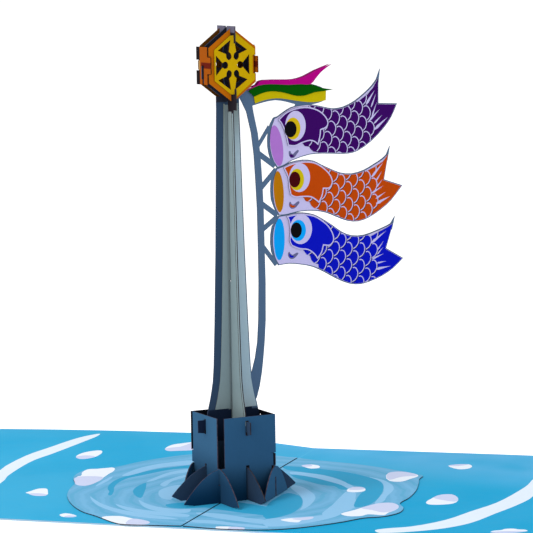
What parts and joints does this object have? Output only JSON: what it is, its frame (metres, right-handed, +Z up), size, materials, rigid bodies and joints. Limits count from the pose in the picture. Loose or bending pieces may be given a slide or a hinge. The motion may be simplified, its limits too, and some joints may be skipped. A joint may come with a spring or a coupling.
{
  "type": "pop-up card with carp streamer",
  "caption": "Laser-cut paper pop-up card: crossed-slat pole in a slotted box base, arm with fish-shaped streamers and ribbons, and a hexagonal wheel on top.",
  "frame": {"origin": "middle of the spine on the underside of the open card, centre of the bounding box's bottom face", "axes": "+X to the right panel's free edge, +Y along the spine to the back edge, +Z up"},
  "size_m": [0.4, 0.1506, 0.1617],
  "materials": {
    "card_print": "printed satin card",
    "ripple_print": "printed paper",
    "slate_paper": "dyed-through paper, laser-cut edges",
    "pole_overlay_paper": "uncoated paper",
    "wheel_orange_paper": "uncoated paper",
    "wheel_yellow_paper": "uncoated paper",
    "violet_print": "printed paper",
    "orange_print": "printed paper",
    "blue_print": "printed paper",
    "yellow_ribbon_paper": "uncoated paper",
    "green_ribbon_paper": "uncoated paper",
    "magenta_ribbon_paper": "uncoated paper"
  },
  "bodies": {
    "left_panel": {"left_cover": "card_print", "left_ripple_sheet": "ripple_print"},
    "right_panel": {"right_cover": "card_print", "right_ripple_sheet": "ripple_print"},
    "left_bracket": {"left_hinge_bracket": "slate_paper"},
    "right_bracket": {"right_hinge_bracket": "slate_paper"},
    "left_slat_body": {"left_slat": "slate_paper"},
    "front_slat_body": {"front_slat": "slate_paper"},
    "back_slat_body": {"back_slat": "slate_paper"},
    "right_slat_body": {"right_slat": "slate_paper"},
    "pole_arm_body": {"pole_slat_with_arm": "slate_paper", "pole_overlay_front_left": "pole_overlay_paper", "pole_overlay_front_right": "pole_overlay_paper", "pole_overlay_back_left": "pole_overlay_paper", "pole_overlay_back_right": "pole_overlay_paper", "upper_fish_front": "violet_print", "upper_fish_back": "violet_print", "upper_fish_head_front": "violet_print", "upper_fish_head_back": "violet_print", "middle_fish_front": "orange_print", "middle_fish_back": "orange_print", "middle_fish_head_front": "orange_print", "middle_fish_head_back": "orange_print", "lower_fish_front": "blue_print", "lower_fish_back": "blue_print", "lower_fish_head_front": "blue_print", "lower_fish_head_back": "blue_print", "yellow_ribbon_front": "yellow_ribbon_paper", "yellow_ribbon_back": "yellow_ribbon_paper", "green_ribbon_front": "green_ribbon_paper", "green_ribbon_back": "green_ribbon_paper", "magenta_ribbon_front": "magenta_ribbon_paper", "magenta_ribbon_back": "magenta_ribbon_paper"},
    "pole_cross_body": {"pole_cross_slat": "slate_paper", "cross_overlay_near_left": "pole_overlay_paper", "cross_overlay_near_right": "pole_overlay_paper", "cross_overlay_far_left": "pole_overlay_paper", "cross_overlay_far_right": "pole_overlay_paper"},
    "wheel_front_body": {"wheel_front_plate": "wheel_orange_paper", "wheel_front_overlay": "wheel_yellow_paper"},
    "wheel_back_body": {"wheel_back_plate": "wheel_orange_paper", "wheel_back_overlay": "wheel_yellow_paper"},
    "wheel_left_strip_body": {"wheel_left_strip": "wheel_orange_paper"},
    "wheel_right_strip_body": {"wheel_right_strip": "wheel_orange_paper"}
  },
  "joints": [
    {"name": "card_fold", "type": "hinge", "parent": "left_panel", "child": "right_panel", "pos_m": [0, 0, 0.00085], "axis": [0, -1, 0], "range_deg": [0, 130]},
    {"name": "left_bracket_fold", "type": "hinge", "parent": "left_panel", "child": "left_bracket", "pos_m": [-0.01485, -0.0199, 0.00105], "axis": [0, -1, 0], "range_deg": [0, 65.05]},
    {"name": "right_bracket_fold", "type": "hinge", "parent": "right_panel", "child": "right_bracket", "pos_m": [0.01485, -0.0199, 0.00105], "axis": [0, 1, 0], "range_deg": [0, 65.05]},
    {"name": "left_slat_turn", "type": "hinge", "parent": "left_bracket", "child": "left_slat_body", "pos_m": [-0.01485, -0.0199, 0.001], "axis": [0, 0, -1], "range_deg": [0, 28.25]},
    {"name": "front_slat_turn", "type": "hinge", "parent": "left_slat_body", "child": "front_slat_body", "pos_m": [0, -0.03475, 0.001], "axis": [0, 0, 1], "range_deg": [0, 56.45]},
    {"name": "pole_arm_turn", "type": "hinge", "parent": "left_slat_body", "child": "pole_arm_body", "pos_m": [-0.00742, -0.02732, 0.001], "axis": [0, 0, 1], "range_deg": [0, 56.45]},
    {"name": "back_slat_turn", "type": "hinge", "parent": "left_slat_body", "child": "back_slat_body", "pos_m": [-0.01485, -0.0199, 0.001], "axis": [0, 0, 1], "range_deg": [0, 56.45]},
    {"name": "pole_cross_turn", "type": "hinge", "parent": "front_slat_body", "child": "pole_cross_body", "pos_m": [0.00742, -0.02732, 0.001], "axis": [0, 0, -1], "range_deg": [0, 56.45]},
    {"name": "right_slat_turn", "type": "hinge", "parent": "front_slat_body", "child": "right_slat_body", "pos_m": [0.01485, -0.0199, 0.001], "axis": [0, 0, -1], "range_deg": [0, 56.45]},
    {"name": "wheel_front_turn", "type": "hinge", "parent": "pole_cross_body", "child": "wheel_front_body", "pos_m": [0.00283, -0.02273, 0.14865], "axis": [0, 0, 1], "range_deg": [0, 56.45]},
    {"name": "wheel_back_turn", "type": "hinge", "parent": "pole_cross_body", "child": "wheel_back_body", "pos_m": [-0.00283, -0.01707, 0.14865], "axis": [0, 0, 1], "range_deg": [0, 56.45]},
    {"name": "wheel_left_strip_turn", "type": "hinge", "parent": "wheel_front_body", "child": "wheel_left_strip_body", "pos_m": [-0.00339, -0.02895, 0.14865], "axis": [0, 0, -1], "range_deg": [0, 56.45]},
    {"name": "wheel_right_strip_turn", "type": "hinge", "parent": "wheel_front_body", "child": "wheel_right_strip_body", "pos_m": [0.00905, -0.01651, 0.14865], "axis": [0, 0, -1], "range_deg": [0, 56.45]}
  ],
  "couplings": [
    {"joint": "left_bracket_fold", "follows": "card_fold", "ratio": 0.5},
    {"joint": "right_bracket_fold", "follows": "card_fold", "ratio": 0.5},
    {"joint": "left_slat_turn", "follows": "card_fold", "ratio": 0.21692},
    {"joint": "front_slat_turn", "follows": "card_fold", "ratio": 0.43385},
    {"joint": "pole_arm_turn", "follows": "card_fold", "ratio": 0.43385},
    {"joint": "back_slat_turn", "follows": "card_fold", "ratio": 0.43385},
    {"joint": "pole_cross_turn", "follows": "card_fold", "ratio": 0.43385},
    {"joint": "right_slat_turn", "follows": "card_fold", "ratio": 0.43385},
    {"joint": "wheel_front_turn", "follows": "card_fold", "ratio": 0.43385},
    {"joint": "wheel_back_turn", "follows": "card_fold", "ratio": 0.43385},
    {"joint": "wheel_left_strip_turn", "follows": "card_fold", "ratio": 0.43385},
    {"joint": "wheel_right_strip_turn", "follows": "card_fold", "ratio": 0.43385}
  ]
}
